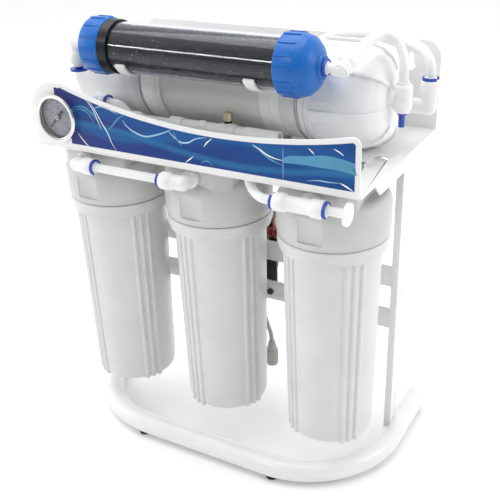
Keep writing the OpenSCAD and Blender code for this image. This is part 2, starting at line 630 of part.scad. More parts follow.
module inline_fittings() color("white") {
    difference() {
        union() {
            toward(outlet - 4 * outlet_aim, outlet_aim) cylinder(r = neck_r - 0.3, h = 8, $fn = small);
            toward(outlet, outlet_aim) arm(outlet_reach);
            along_x([outlet[0] - 9, iy, iz]) cylinder(r = 7.1, h = 14, $fn = small);
            along_back_x(outlet) cylinder(r = hose_r, h = outlet[0] - 110, $fn = small);
            along_x([nozzle_right, iy, iz]) cylinder(r = grip_r, h = clip_h, $fn = small);
        }
        toward(outlet, outlet_aim) arm_bore(outlet_reach);
        along_x([104, iy, iz]) cylinder(r = 2.4, h = outlet[0] - 103.5, $fn = small);
    }
    difference() {
        union() {
            corner([inlet_x, iy, iz]);
            down([inlet_x, iy, iz]) arm(inlet_drop);
            along_x([inlet_x, iy, iz]) cylinder(r = neck_r, h = nozzle_left - inlet_x, $fn = small);
            along_x([inlet_x, iy, iz]) cylinder(r = thread_r, h = 27, $fn = small);
        }
        down([inlet_x, iy, iz]) arm_bore(inlet_drop);
        along_x([inlet_x, iy, iz]) cylinder(r = 3, h = 40, $fn = small);
    }
}
module locking_clips() color("blue") {
    along_x([-pitch, front_y, port_z]) clip(left_reach);
    along_back_x([0, front_y, port_z]) clip(mid_reach);
    along_back_x([pitch, front_y, port_z]) clip(tee_left);
    along_x([pitch, front_y, port_z]) clip(tee_right);
    along_x([-pitch, rear_y, port_z]) clip(left_reach);
    along_x([0, rear_y, port_z]) clip(left_reach);
    along_back_x([pitch, rear_y, port_z]) clip(left_reach);
    translate([feed_x, feed_y, feed_z]) clip(feed_up);
    along_x([reject_x, valve_y, valve_z]) clip(left_reach);
    along_x([-gauge_left, gauge_y, gauge_z]) clip(gauge_reach);
    along_x([nozzle_right, iy, iz]) clip(clip_h);
}
module inlet_plug() color("white") along_x([pitch + tee_right - socket, front_y, port_z]) {
    cylinder(r = plug_r, h = socket + 20, $fn = small);
    translate([0, 0, socket + 19]) cylinder(r = 11.5, h = 3, $fn = mid);
}
module product_plug() color("blue") down([inlet_x, iy, iz - inlet_drop + socket]) {
    cylinder(r = plug_r, h = socket + 4, $fn = small);
    translate([0, 0, socket + 2.5]) cylinder(r = 10, h = 2.5, $fn = mid);
}
module tee_plug() color("blue") down([perm_x, perm_y, perm_z - perm_reach + socket]) {
    cylinder(r = plug_r, h = socket + 2, $fn = small);
    translate([0, 0, socket + 1]) cylinder(r1 = plug_r, r2 = 3.2, h = 3, $fn = small);
    translate([0, 0, socket + 3.9]) cylinder(r = 3.2, h = 11, $fn = small);
}

// ---- flush valve with flow restrictor and open drain port ----
module flush_valve() color("white") difference() {
    union() {
        along_x([valve_left, valve_y, valve_z]) {
            cylinder(r = 8, h = 16, $fn = mid);
            cylinder(r = 6.5, h = valve_right - valve_left - 20, $fn = mid);
        }
        along_x([-25, valve_y, valve_z]) cylinder(r = 8, h = 8, $fn = 6);
        along_x([valve_x - 9, valve_y, valve_z]) cylinder(r = 8, h = 19, $fn = mid);
        along_x([32, valve_y, valve_z]) cylinder(r = 7.5, h = valve_right - 32, $fn = mid);
        translate([valve_x, valve_y, valve_z]) cylinder(r = 5.6, h = 9.5, $fn = mid);
        translate([valve_x - 7, valve_y - 7, shelf_z]) cube([14, 14, valve_z - shelf_z - 4]);
    }
    along_x([valve_left - cut, valve_y, valve_z]) cylinder(r = hose_r, h = socket + cut, $fn = small);
    along_x([valve_right - socket, valve_y, valve_z]) cylinder(r = 4.8, h = socket + cut, $fn = small);
    along_x([valve_left, valve_y, valve_z]) cylinder(r = 1.5, h = valve_right - valve_left - 5, $fn = small);
    translate([valve_x, valve_y, valve_z - 3]) cylinder(r = 3.05, h = 20, $fn = small);
}
module valve_stem() color("goldenrod") difference() {
    translate([valve_x, valve_y, valve_z]) {
        translate([0, 0, -2.6]) cylinder(r = 3, h = 14, $fn = small);
        translate([0, 0, 9.7]) cylinder(r = 4.6, h = 2.6, $fn = mid);
        translate([0, 0, 12]) cylinder(r = 5.2, h = 9, $fn = mid);
    }
    translate([valve_x - 6, valve_y - 0.6, valve_z + 19]) cube([12, 1.2, 4]);
    along_x([valve_x - 5, valve_y, valve_z]) cylinder(r = 1.5, h = 10, $fn = small);
}

// ---- pump ----
module pump_motor() color("dimgray") translate([pump_x, pump_y, 0]) difference() {
    rotate_extrude($fn = fine) polygon([[0, motor_low], [motor_r - 5, motor_low],
        [motor_r, motor_low + 5], [motor_r, motor_top], [0, motor_top]]);
    translate([0, 0, motor_low + 4]) cylinder(r = motor_r - 7, h = 68, $fn = fine);
    translate([0, 0, motor_low + 60]) cylinder(r = 5.05, h = 40, $fn = small);
    translate([14, -4, motor_low - cut]) cylinder(r = 3.5, h = 3 + cut, $fn = small);
}
module pump_head() color("black") difference() {
    union() {
        translate([pump_x, pump_y, motor_top]) rotate_extrude($fn = fine) polygon([[0, 0], [34, 0],
            [34, 12], [31, 14], [31, 34], [27.5, 42], [0, 42]]);
        for (a = [45 : 90 : 315]) translate([pump_x, pump_y, motor_top]) rotate(a)
            translate([28.4, 0, 0]) cylinder(r = 5, h = 38, $fn = small);
        for (x = [port_in_x, port_out_x]) translate([x, pump_y, pump_top - 14])
            cylinder(r = 8, h = 14, $fn = mid);
    }
    translate([pump_x, pump_y, motor_top - cut]) cylinder(r = 14, h = 20, $fn = mid);
    for (x = [port_in_x, port_out_x]) translate([x, pump_y, pump_top - 12])
        cylinder(r = hose_r, h = 14, $fn = small);
}
module pump_rotor() color("silver") translate([pump_x, pump_y, 0]) {
    translate([0, 0, motor_low + 8]) cylinder(r = 24, h = 46, $fn = mid);
    translate([0, 0, motor_low + 8]) cylinder(r = 5, h = 84, $fn = small);
    translate([2.5, 0, motor_top + 2]) cylinder(r = 8, h = 12, $fn = small);
}
module pump_bracket() color("black") {
    for (p = bracket_screws) {
        along_y([p[0], leg_y - 0.4, p[1]]) cylinder(r = 4, h = 2.4, $fn = small);
        along_y([p[0], leg_y, p[1]]) cylinder(r = 2, h = 5, $fn = small);
    }
    difference() {
        union() {
            translate([-70, leg_y + 2 * sheet, 163]) cube([108, sheet, 59]);
            for (z = [180, 226]) translate([pump_x, pump_y, z]) cylinder(r = motor_r + 2, h = 12, $fn = fine);
            translate([pump_x - 30, leg_y + 2 * sheet, 222]) cube([60, sheet, 16]);
        }
        translate([pump_x, pump_y, 160]) cylinder(r = motor_r, h = 100, $fn = fine);
    }
}
// pressure switch on the bracket's right edge: two terminals, two wires to the motor
module pump_switch() color("firebrick") {
    translate([switch_x, leg_y + 3 * sheet, switch_z]) cube([15, 14, 30]);
    translate([switch_x - 3, leg_y + 3 * sheet, switch_z - 20]) cube([12, 3, 22]);
    for (w = [[switch_x + 4, -20], [switch_x + 11, -8]]) {
        x = w[0];
        e = [pump_x + blade_r * cos(w[1]), pump_y + blade_r * sin(w[1])];
        along_back_y([x, leg_y + 3 * sheet + 1, switch_z + 24]) cylinder(r = 1.8, h = 7, $fn = small);
        sweep([[x, leg_y + 1, 250], [x - 1, leg_y - 2, 256], [x - 5, leg_y + 6, 265],
            [(x + e[0]) / 2 - 2, (leg_y + 6 + e[1]) / 2 + 1, 267], [e[0], e[1], 258], [e[0], e[1], 251],
            [e[0], e[1], 243]], 1.1, 8, 3);
        translate([pump_x, pump_y, 238.2]) rotate(w[1]) translate([motor_r, -2.2, 0]) cube([3, 4.4, 8.6]);
    }
}
module pump_lead() color("gray") sweep(lead_route, lead_r, 10, 3);
module lead_connector() color("gray") difference() {
    translate([14, 50, 0]) {
        translate([0, 0, 45]) cylinder(r = 7.5, h = 22, $fn = small);
        translate([0, 0, 66]) cylinder(r1 = 7.5, r2 = 4, h = 14, $fn = small);
        for (z = [49 : 5 : 64]) translate([0, 0, z]) cylinder(r = 8.2, h = 2.2, $fn = small);
    }
    translate([14, 50, 78]) cylinder(r = lead_r, h = 5, $fn = small);
    translate([14, 50, 44]) cylinder(r = 5, h = 10, $fn = small);
}

// ---- water tubes, along their real routes ----
module tube_links() color("white") {
    along_x([-pitch + left_reach - socket, front_y, port_z])
        cylinder(r = hose_r, h = pitch - left_reach - mid_reach + 2 * socket, $fn = small);
    along_x([left_reach - socket, rear_y, port_z])
        cylinder(r = hose_r, h = pitch - 2 * left_reach + 2 * socket, $fn = small);
}
module tube_gauge() color("white") sweep(gauge_route, hose_r);
module tube_pump_in() color("white") sweep(suction_route, hose_r);
module tube_pump_out() color("white") sweep(feed_route, hose_r);
module tube_reject() color("white")
    along_x([reject_x + left_reach - socket, valve_y, valve_z])
        cylinder(r = hose_r, h = valve_left - reject_x - left_reach + 2 * socket, $fn = small);
module tube_product() color("white") sweep(product_route, hose_r);

base_ring();
ring_plugs();
rubber_pads();
leg_left();
leg_right();
crossbars();
shelf();
back_plate();
nameplate();
nameplate_label();
head_left();
head_middle();
head_right();
sump_left();
sump_middle();
sump_right();
cartridge_left();
cartridge_middle();
cartridge_right();
housing_orings();
head_screws();
membrane_housing();
membrane_cap();
membrane_element();
membrane_saddles();
inline_shell();
inline_cap_left();
inline_cap_right();
inline_media();
filter_clips();
gauge_case();
gauge_bezel();
gauge_dial();
gauge_needle();
gauge_lens();
gauge_elbow();
head_elbows();
inlet_tee();
membrane_tee();
membrane_elbows();
inline_fittings();
locking_clips();
inlet_plug();
product_plug();
tee_plug();
tube_links();
tube_gauge();
tube_pump_in();
tube_pump_out();
tube_reject();
tube_product();
pump_motor();
pump_head();
pump_bracket();
pump_rotor();
pump_switch();
pump_lead();
lead_connector();
flush_valve();
valve_stem();
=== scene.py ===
"""Looks for the bench reverse osmosis unit: camera, lead, detailed pieces, materials, light."""

import json
import math
import random

import bpy
from mathutils import Matrix, Vector


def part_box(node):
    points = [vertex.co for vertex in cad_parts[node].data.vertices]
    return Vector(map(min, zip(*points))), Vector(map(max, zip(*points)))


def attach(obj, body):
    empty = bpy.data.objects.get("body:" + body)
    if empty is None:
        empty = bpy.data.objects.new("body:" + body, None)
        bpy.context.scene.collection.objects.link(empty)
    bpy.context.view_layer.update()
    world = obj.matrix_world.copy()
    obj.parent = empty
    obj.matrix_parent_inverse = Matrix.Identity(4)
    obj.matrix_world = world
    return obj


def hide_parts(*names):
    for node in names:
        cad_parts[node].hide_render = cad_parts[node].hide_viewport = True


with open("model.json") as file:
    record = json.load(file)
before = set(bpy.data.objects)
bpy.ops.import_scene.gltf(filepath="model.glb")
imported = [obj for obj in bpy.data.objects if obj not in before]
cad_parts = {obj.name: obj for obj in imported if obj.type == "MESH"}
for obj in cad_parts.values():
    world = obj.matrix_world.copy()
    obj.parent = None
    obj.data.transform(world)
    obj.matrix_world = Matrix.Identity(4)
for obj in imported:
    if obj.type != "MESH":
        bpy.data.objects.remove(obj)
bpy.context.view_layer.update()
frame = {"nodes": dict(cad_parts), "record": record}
nodes = frame["nodes"]
MM = 0.001

# ---------------------------------------------------------------- camera

CAMERA_PLACE = Vector((0.447, -0.7561, 0.6704))
CAMERA_TARGET = Vector((0.0369, -0.040, 0.2590))
CAMERA_ROLL = math.radians(1.9)     # clockwise lean of the picture
FOCAL_MM = 59.04
SENSOR_MM = 36.0
CLIP_START = 0.01


def make_camera():
    data = bpy.data.cameras.new("camera")
    data.lens = FOCAL_MM
    data.sensor_width = SENSOR_MM
    data.clip_start = CLIP_START
    cam = bpy.data.objects.new("camera", data)
    bpy.context.scene.collection.objects.link(cam)
    ahead = (CAMERA_TARGET - CAMERA_PLACE).normalized()
    right = ahead.cross(Vector((0, 0, 1))).normalized()
    up = right.cross(ahead)
    c, s = math.cos(CAMERA_ROLL), math.sin(CAMERA_ROLL)
    x, y = c * right - s * up, c * up + s * right
    turn = Matrix((x, y, -ahead)).transposed().to_4x4()
    cam.matrix_world = Matrix.Translation(CAMERA_PLACE) @ turn
    bpy.context.scene.camera = cam


# ---------------------------------------------------------------- mesh helpers

def add_mesh(name, verts, faces, body="frame", smooth=True):
    mesh = bpy.data.meshes.new(name)
    mesh.from_pydata([tuple(v) for v in verts], [], faces)
    mesh.update()
    if smooth:
        mesh.polygons.foreach_set("use_smooth", [True] * len(mesh.polygons))
    obj = bpy.data.objects.new(name, mesh)
    bpy.context.scene.collection.objects.link(obj)
    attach(obj, body)
    return obj


def spline(points, steps):
    """Catmull-Rom through the points, as part.scad draws its tubes."""
    p = [2 * points[0] - points[1]] + points + [2 * points[-1] - points[-2]]
    out = []
    for i in range(1, len(p) - 2):
        a, b, c, d = p[i - 1:i + 3]
        for k in range(steps):
            t = k / steps
            out.append(0.5 * (2 * b + (c - a) * t + (2 * a - 5 * b + 4 * c - d) * t * t
                              + (3 * b - a - 3 * c + d) * t ** 3))
    return out + [points[-1]]


UPRIGHT = 0.7       # a path that starts steeper than this takes x, not z, for its first ring


def swept(name, path, radius, sides):
    """A round tube along path, with its rings carried along without twist."""
    last = len(path) - 1
    upright = abs((path[1] - path[0]).normalized().z) >= UPRIGHT
    side = Vector((1, 0, 0)) if upright else Vector((0, 0, 1))
    verts, faces = [], []
    for i, point in enumerate(path):
        along = (path[min(i + 1, last)] - path[max(i - 1, 0)]).normalized()
        side = (side - side.dot(along) * along).normalized()
        across = along.cross(side)
        for j in range(sides):
            a = 2 * math.pi * j / sides
            verts.append(point + radius * (math.cos(a) * side + math.sin(a) * across))
    for i in range(last):
        for j in range(sides):
            k = (j + 1) % sides
            faces.append((i * sides + j, i * sides + k,
                          (i + 1) * sides + k, (i + 1) * sides + j))
    faces.append(tuple(range(sides))[::-1])
    faces.append(tuple(last * sides + j for j in range(sides)))
    return add_mesh(name, verts, faces)


def metres(points):
    return [Vector(p) * MM for p in points]


# ---------------------------------------------------------------- material helpers

def start_material(name):
    mat = bpy.data.materials.new(name)
    mat.use_nodes = True
    tree = mat.node_tree
    shader = tree.nodes["Principled BSDF"]
    coords = tree.nodes.new("ShaderNodeTexCoord")
    return mat, tree, shader, coords.outputs["Object"]


def noise(tree, coords, scale, detail=3.0):
    """scale is the number of blotches per metre"""
    node = tree.nodes.new("ShaderNodeTexNoise")
    node.inputs["Scale"].default_value = scale
    node.inputs["Detail"].default_value = detail
    tree.links.new(coords, node.inputs["Vector"])
    return node.outputs["Fac"]


def ramp(tree, factor, stops):
    """a colour for each place from 0 to 1, and smooth steps between them"""
    node = tree.nodes.new("ShaderNodeValToRGB")
    elements = node.color_ramp.elements
    while len(elements) < len(stops):
        elements.new(0.5)
    for element, (place, colour) in zip(elements, stops):
        element.position = place
        element.color = (*colour, 1.0)
    tree.links.new(factor, node.inputs["Fac"])
    return node.outputs["Color"]


def drift(tree, coords, scale, colour, wander, detail=3.0):
    """colour that drifts slowly by the share wander to either side"""
    return ramp(tree, noise(tree, coords, scale, detail),
                [(0.3, shade(colour, 1 - wander)), (0.7, shade(colour, 1 + wander))])


def spread(tree, factor, low, high):
    """factor from 0 to 1 stretched over low to high"""
    node = tree.nodes.new("ShaderNodeMapRange")
    node.inputs["To Min"].default_value = low
    node.inputs["To Max"].default_value = high
    tree.links.new(factor, node.inputs["Value"])
    return node.outputs["Result"]


def smooth_step(tree, factor, start, end, low, high):
    """low at start, high at end, and a smooth step between them"""
    node = tree.nodes.new("ShaderNodeMapRange")
    node.interpolation_type = "SMOOTHSTEP"
    node.inputs["From Min"].default_value = start
    node.inputs["From Max"].default_value = end
    node.inputs["To Min"].default_value = low
    node.inputs["To Max"].default_value = high
    tree.links.new(factor, node.inputs["Value"])
    return node.outputs["Result"]


def maths(tree, op, a, b=None):
    node = tree.nodes.new("ShaderNodeMath")
    node.operation = op
    for socket, value in zip(node.inputs, (a, b)):
        if value is None:
            continue
        if isinstance(value, (int, float)):
            socket.default_value = value
        else:
            tree.links.new(value, socket)
    return node.outputs["Value"]


def bump(tree, shader, height, depth, strength):
    """relief as deep as depth (m)"""
    node = tree.nodes.new("ShaderNodeBump")
    node.inputs["Strength"].default_value = strength
    node.inputs["Distance"].default_value = depth
    tree.links.new(height, node.inputs["Height"])
    tree.links.new(node.outputs["Normal"], shader.inputs["Normal"])


def shade(colour, factor):
    return tuple(min(1.0, c * factor) for c in colour)


PATCH = 30.0            # blotches of colour per metre, and of wear
WEAR = 5 * PATCH
WEAR_SHARE = 0.18       # roughness drifts by this share to either side
COAT_ROUGH = 0.08
RELIEF = 0.6            # strength of most bumps


def surface(name, colour, rough, grain, depth, wander, metallic=0.0, coat=0.0, gloss=0.5):
    """A solid whose colour and roughness drift; grain is its fine relief per metre."""
    mat, tree, shader, coords = start_material(name)
    tree.links.new(drift(tree, coords, PATCH, colour, wander, 4.0), shader.inputs["Base Color"])
    worn = noise(tree, coords, WEAR)
    tree.links.new(spread(tree, worn, rough * (1 - WEAR_SHARE), min(1.0, rough * (1 + WEAR_SHARE))),
                   shader.inputs["Roughness"])
    shader.inputs["Metallic"].default_value = metallic
    shader.inputs["Coat Weight"].default_value = coat
    shader.inputs["Coat Roughness"].default_value = COAT_ROUGH
    shader.inputs["Specular IOR Level"].default_value = gloss
    bump(tree, shader, noise(tree, coords, grain), depth, RELIEF)
    return mat


def glass(name, colour, rough, ior):
    mat, tree, shader, coords = start_material(name)
    shader.inputs["Transmission Weight"].default_value = 1.0
    shader.inputs["IOR"].default_value = ior
    tint = ramp(tree, noise(tree, coords, 12.0), [(0.3, shade(colour, 0.97)), (0.7, colour)])
    tree.links.new(tint, shader.inputs["Base Color"])
    tree.links.new(spread(tree, noise(tree, coords, 160.0), rough, rough * 2.5),
                   shader.inputs["Roughness"])
    bump(tree, shader, noise(tree, coords, 45.0, 1.0), 0.00006, 0.3)
    return mat


def axis_parts(tree, coords):
    node = tree.nodes.new("ShaderNodeSeparateXYZ")
    tree.links.new(coords, node.inputs["Vector"])
    return node.outputs["X"], node.outputs["Y"], node.outputs["Z"]


def blend(tree, factor, colour, other):
    """colour where factor is 0, the plain colour other where it is 1"""
    node = tree.nodes.new("ShaderNodeMix")
    node.data_type = "RGBA"
    tree.links.new(factor, node.inputs["Factor"])
    tree.links.new(colour, node.inputs["A"])
    node.inputs["B"].default_value = (*other, 1.0)
    return node.outputs["Result"]


NAVY_TO_ROYAL = [(0.1, (0.026, 0.042, 0.20)), (0.45, (0.008, 0.04, 0.21)),
                 (1.0, (0.004, 0.06, 0.25))]
# soft waves: how many along the label, phase, height of the middle, swing, colour, half width
SOFT_WAVES = ((1.3, 2.3, 0.42, 0.30, (0.012, 0.12, 0.34), 0.16),
              (1.7, 5.4, 0.55, 0.22, (0.010, 0.09, 0.30), 0.22),
              (0.9, 0.6, 0.25, 0.30, (0.02, 0.16, 0.36), 0.09))
WAVE_STRENGTH = 0.7


def label_material():
    """Blue film, navy at the gauge's end and royal blue at the other, with soft waves."""
    mat, tree, shader, coords = start_material("blue_label")
    low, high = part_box("nameplate_label")
    x, _, z = axis_parts(tree, coords)
    u = maths(tree, "DIVIDE", maths(tree, "SUBTRACT", x, low.x), high.x - low.x)
    u = maths(tree, "ADD", u, maths(tree, "MULTIPLY", noise(tree, coords, 16.0, 2.0), 0.12))
    base = ramp(tree, u, NAVY_TO_ROYAL)
    v = maths(tree, "DIVIDE", maths(tree, "SUBTRACT", z, low.z), high.z - low.z)
    for waves, phase, lift, size, tint, width in SOFT_WAVES:
        angle = maths(tree, "ADD", maths(tree, "MULTIPLY", u, waves * 2 * math.pi), phase)
        crest = maths(tree, "SINE", angle)
        line = maths(tree, "ADD", maths(tree, "MULTIPLY", crest, size / 2), lift)
        gap = maths(tree, "ABSOLUTE", maths(tree, "SUBTRACT", v, line))
        base = blend(tree, smooth_step(tree, gap, width * 0.1, width, WAVE_STRENGTH, 0.0),
                     base, tint)
    tree.links.new(base, shader.inputs["Base Color"])
    tree.links.new(spread(tree, noise(tree, coords, 90.0), 0.3, 0.38), shader.inputs["Roughness"])
    shader.inputs["Specular IOR Level"].default_value = 0.2
    bump(tree, shader, noise(tree, coords, 300.0), 0.00003, 0.3)
    return mat


# grain tones: black to dark grey at random, and the palest near-white grains are painted glints
CARBON_TONES_AND_GLINTS = [(0.0, (0.003, 0.003, 0.004)), (0.88, (0.01, 0.01, 0.012)),
                (0.96, (0.08, 0.08, 0.09)), (1.0, (0.9, 0.9, 0.93))]


def granule_material():
    """Black carbon with a scatter of paler grains; the palest, near-white grains are painted
    glints.
    """
    mat, tree, shader, coords = start_material("black_granules")
    info = tree.nodes.new("ShaderNodeNewGeometry")
    tree.links.new(ramp(tree, info.outputs["Random Per Island"], CARBON_TONES_AND_GLINTS),
                   shader.inputs["Base Color"])
    shader.inputs["Specular IOR Level"].default_value = 0.15
    tree.links.new(spread(tree, noise(tree, coords, 700.0), 0.25, 0.6), shader.inputs["Roughness"])
    bump(tree, shader, noise(tree, coords, 2500.0), 0.0001, 0.5)
    return mat


def banded(name, colour, rough, axis, start, end, band, metallic=0.0):
    """A plain solid that has the band's colour from start to end (mm along the axis)."""
    mat, tree, shader, coords = start_material(name)
    base = drift(tree, coords, PATCH, colour, 0.06, 4.0)
    along = axis_parts(tree, coords)[axis]
    inside = maths(tree, "MULTIPLY", maths(tree, "GREATER_THAN", along, start * MM),
                   maths(tree, "LESS_THAN", along, end * MM))
    tree.links.new(blend(tree, inside, base, band), shader.inputs["Base Color"])
    tree.links.new(spread(tree, noise(tree, coords, WEAR), rough * 0.85, rough * 1.15),
                   shader.inputs["Roughness"])
    shader.inputs["Metallic"].default_value = metallic
    shader.inputs["Specular IOR Level"].default_value = 0.35
    bump(tree, shader, noise(tree, coords, 1300.0), 0.00003, RELIEF)
    return mat


def wound_material(name, colour, per_metre):
    """String-wound filter: crossed strands."""
    mat, tree, shader, coords = start_material(name)
    wave = tree.nodes.new("ShaderNodeTexWave")
    wave.bands_direction = "DIAGONAL"
    wave.inputs["Scale"].default_value = per_metre
    wave.inputs["Distortion"].default_value = 0.6
    tree.links.new(coords, wave.inputs["Vector"])
    strands = ramp(tree, wave.outputs["Fac"], [(0.0, shade(colour, 0.8)), (0.6, colour)])
    tree.links.new(strands, shader.inputs["Base Color"])
    tree.links.new(spread(tree, noise(tree, coords, 500.0), 0.75, 0.95), shader.inputs["Roughness"])
    bump(tree, shader, wave.outputs["Fac"], 0.0006, 0.8)
    return mat


CAP_BLUE = (0.008, 0.135, 0.5)
SOLIDS = {      # colour, roughness, grain per metre, its depth in metres, drift of the colour
    "white_powder_coat": ((0.83, 0.83, 0.83), 0.34, 900.0, 0.00004, 0.02),
    "housing_plastic": ((0.68, 0.68, 0.68), 0.33, 1400.0, 0.00003, 0.03),
    # the heads: the housings' white plastic in a darker copy, painted shade for the heads under the
    # shelf
    "head_plastic_painted_shade": ((0.58, 0.575, 0.57), 0.33, 1400.0, 0.00003, 0.03),
    # the membrane housing and saddles: the housings' white plastic in a lighter copy, painted light
    "membrane_plastic_painted_light": ((0.72, 0.725, 0.72), 0.34, 1400.0, 0.00003, 0.03),
    # the membrane cap: the same white plastic in a lighter copy, painted light
    "cap_plastic_painted_light": ((0.86, 0.865, 0.87), 0.3, 1400.0, 0.00003, 0.03),
    "fitting_plastic": ((0.86, 0.86, 0.855), 0.32, 1600.0, 0.00002, 0.02),
    "clip_plastic": ((0.85, 0.85, 0.845), 0.38, 1500.0, 0.00003, 0.02),
    "tube_plastic": ((0.84, 0.845, 0.84), 0.30, 700.0, 0.00003, 0.03),
    "rubber_pad": ((0.02, 0.02, 0.02), 0.85, 1200.0, 0.0001, 0.2),
    "black_seal": ((0.015, 0.015, 0.015), 0.5, 900.0, 0.00003, 0.2),
    "zinc_steel": ((0.55, 0.56, 0.57), 0.32, 2000.0, 0.00002, 0.1),
    "membrane_wrap": ((0.72, 0.69, 0.6), 0.6, 400.0, 0.0001, 0.08),
    "blue_cap": (CAP_BLUE, 0.3, 1300.0, 0.00003, 0.06),
    "clip_blue": ((0.012, 0.06, 0.42), 0.26, 1500.0, 0.00002, 0.08),
    "gauge_steel": ((0.74, 0.72, 0.7), 0.13, 2500.0, 0.000008, 0.05),
    "gauge_face": ((0.5, 0.51, 0.57), 0.55, 900.0, 0.00002, 0.05),
    "needle_black": ((0.012, 0.012, 0.012), 0.45, 1500.0, 0.00002, 0.2),
    "motor_steel": ((0.03, 0.03, 0.033), 0.35, 700.0, 0.00004, 0.15),
    "pump_plastic": ((0.02, 0.02, 0.02), 0.45, 800.0, 0.00006, 0.2),
    "rotor_steel": ((0.45, 0.45, 0.46), 0.3, 1500.0, 0.00002, 0.1),
    "lead_grey": ((0.34, 0.35, 0.32), 0.5, 900.0, 0.00005, 0.1),
    "carbon_block": ((0.02, 0.02, 0.02), 0.8, 500.0, 0.0003, 0.2),
    "ribbon_white": ((0.86, 0.9, 0.93), 0.3, 700.0, 0.00002, 0.04),
    "ribbon_teal": ((0.06, 0.27, 0.46), 0.3, 700.0, 0.00002, 0.15),
    "ribbon_pale": ((0.33, 0.56, 0.72), 0.3, 700.0, 0.00002, 0.15),
}
EXTRAS = {"white_powder_coat": {"coat": 0.5}, "blue_cap": {"gloss": 0.35},
          "zinc_steel": {"metallic": 1.0}, "gauge_steel": {"metallic": 1.0},
          "rotor_steel": {"metallic": 1.0}}
X_AXIS, Z_AXIS = 0, 2
MATERIALS = {name: surface(name, *numbers, **EXTRAS.get(name, {}))
             for name, numbers in SOLIDS.items()}
MATERIALS |= {
    "switch_red": banded("switch_red", (0.22, 0.02, 0.02), 0.35, Z_AXIS, 205.0, 248.0,
                         (0.012, 0.01, 0.01)),
    "brass": banded("brass", (0.6, 0.53, 0.38), 0.28, Z_AXIS, 380.0, 404.2,
                    (0.02, 0.02, 0.02), metallic=1.0),
    # the near-black band from -115.9 to -90 mm stands for the clear flange by the shell: the black
    # media seen through it, and a painted dark reflection
    "cap_with_painted_dark_band": banded("cap_with_painted_dark_band", CAP_BLUE, 0.3, X_AXIS, -115.9, -90.0,
                         (0.012, 0.012, 0.016)),
    "sediment_media": wound_material("sediment_media", (0.85, 0.84, 0.79), 260.0),
    "clear_shell": glass("clear_shell", (0.90, 0.92, 1.0), 0.008, 1.36),
    "gauge_glass": glass("gauge_glass", (0.97, 0.98, 1.0), 0.01, 1.4),
    "blue_label": label_material(),
    "black_granules": granule_material(),
}


def dress(obj, slot):
    obj.data.materials.clear()
    obj.data.materials.append(MATERIALS[slot])
    return obj


# ---------------------------------------------------------------- CAD nodes

EDGE_MM = {"shelf": 0.9, "nameplate": 0.5,
           "leg_left": 0.5, "leg_right": 0.5, "crossbars": 0.5,
           "head_left": 0.7, "head_middle": 0.7, "head_right": 0.7,
           "membrane_cap": 0.5, "filter_clips": 0.7, "membrane_saddles": 0.7,
           "inline_cap_left": 0.4, "inline_cap_right": 0.4}
SHARP = math.radians(38)
SAME_POINT = 1e-6
SHADES = {      # nodes given their own tone apart from their slot: painted shade on the heads, painted light on the membrane housing, saddles and cap, and a painted dark band on the left inline cap
    "inline_cap_left": "cap_with_painted_dark_band", "membrane_cap": "cap_plastic_painted_light",
    "membrane_housing": "membrane_plastic_painted_light", "membrane_saddles": "membrane_plastic_painted_light",
    "head_left": "head_plastic_painted_shade", "head_middle": "head_plastic_painted_shade", "head_right": "head_plastic_painted_shade",
}


def finish_node(name, slot):
    obj = nodes[name]
    dress(obj, slot)
    if "custom_normal" in obj.data.attributes:
        obj.data.attributes.remove(obj.data.attributes["custom_normal"])
    obj.data.polygons.foreach_set("use_smooth", [True] * len(obj.data.polygons))
    weld = obj.modifiers.new("weld", "WELD")
    weld.merge_threshold = SAME_POINT
    if name in EDGE_MM:
        soft = obj.modifiers.new("soft_edges", "BEVEL")
        soft.width = EDGE_MM[name] * MM
        soft.segments = 2
        soft.limit_method = "ANGLE"
        soft.angle_limit = SHARP
        soft.harden_normals = False
    split = obj.modifiers.new("split", "EDGE_SPLIT")
    split.split_angle = SHARP


def finish_nodes():
    for part in frame["record"]["subparts"]:
        name = part["node"]
        finish_node(name, SHADES.get(name, part["material_slot"]))


# ---------------------------------------------------------------- tubes and lead

HOSE_R = 4.75 * MM          # the routes, in mm, are part.scad's
PORT_Z = 358.5
FRONT_Y = -110
REAR_Y = 30
OUTLET = Vector((151, -55, 478))
OUTLET_AIM = Vector((7, 43, 18)).normalized()
HOSES = {
    "tube_gauge": [(118, FRONT_Y, PORT_Z), (110, FRONT_Y, PORT_Z), (102, FRONT_Y, PORT_Z),
                   (91, -109, 359), (79, -102, 361), (69, -93, 366), (61, -83, 374),
                   (52, -73, 382), (38, -64, 387), (10, -60, 388), (-40, -58, 388),
                   (-80, -54, 391), (-104, -48, 399), (-120, -45, 408), (-129, -44, 410),
                   (-138, -44, 410), (-152, -44, 410)],
    "tube_pump_in": [(-127, REAR_Y, PORT_Z), (-119, REAR_Y, PORT_Z), (-111, REAR_Y, PORT_Z),
                     (-92, 31, 358), (-72, 37, 354), (-55, 48, 342), (-45, 58, 326),
                     (-42, 62, 309), (-42, 62, 299), (-42, 62, 289)],
    "tube_pump_out": [(-6, 62, 289), (-6, 62, 297), (-6, 62, 305), (-4, 67, 318),
                      (3, 82, 338), (11, 96, 358), (14, 100, 375), (15, 100, 396),
                      (24, 101, 428), (44, 100, 456), (72, 96, 473), (99, 90, 480),
                      (137, 80, 484), (168, 69, 482), (190, 57, 477), (201, 48, 470),
                      (205, 45, 461), (205, 45, 452), (205, 45, 438)],
    "tube_product": [OUTLET + 8 * OUTLET_AIM, OUTLET + 22 * OUTLET_AIM, OUTLET + 30 * OUTLET_AIM,
                     OUTLET + 38 * OUTLET_AIM, (159, -10, 496), (164, 3, 498), (171, 10, 498),
                     (180, 12, 492), (187, 9, 481), (190, 6, 470), (190, 6, 462), (190, 6, 455),
                     (190, 6, 441)],
}
LEAD_R = 2.8 * MM
